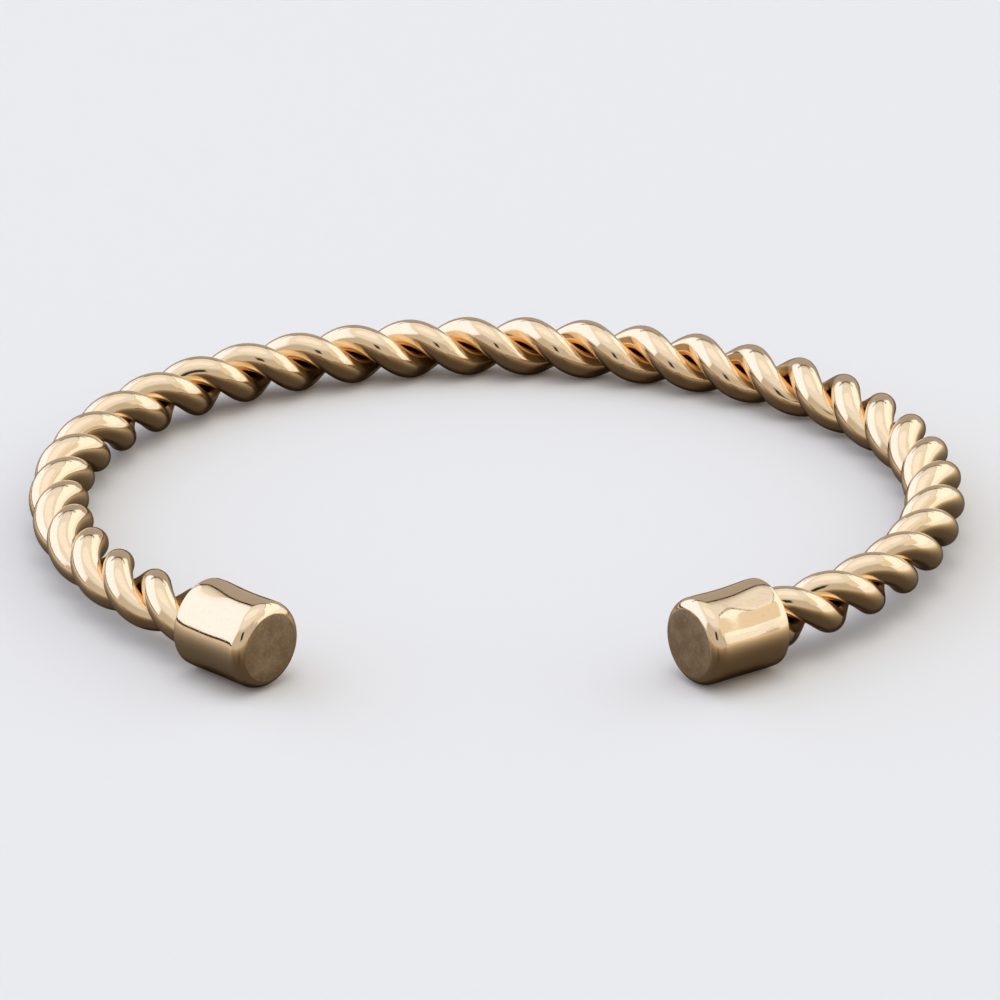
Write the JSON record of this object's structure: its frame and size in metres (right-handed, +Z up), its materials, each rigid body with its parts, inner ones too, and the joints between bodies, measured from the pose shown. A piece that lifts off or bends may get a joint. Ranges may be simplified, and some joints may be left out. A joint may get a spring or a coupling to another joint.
{
  "type": "torque bangle",
  "caption": "Open oval torque bangle: two round wires twisted into a rope, with a plain round cap on each end.",
  "frame": {"origin": "centre of the bangle's box, on the surface that it lies on", "axes": "+X across the wrist opening, towards the right cap's side, +Y from the mouth to the back, +Z up from the surface"},
  "size_m": [0.0684, 0.0604, 0.0065],
  "materials": {
    "twisted_wire": "polished, pale yellow",
    "end_cap": "polished round the side, satin on the end face"
  },
  "bodies": {
    "root": {"twist_wire_a": "twisted_wire", "twist_wire_b": "twisted_wire", "end_cap_left": "end_cap", "end_cap_right": "end_cap"}
  },
  "joints": []
}
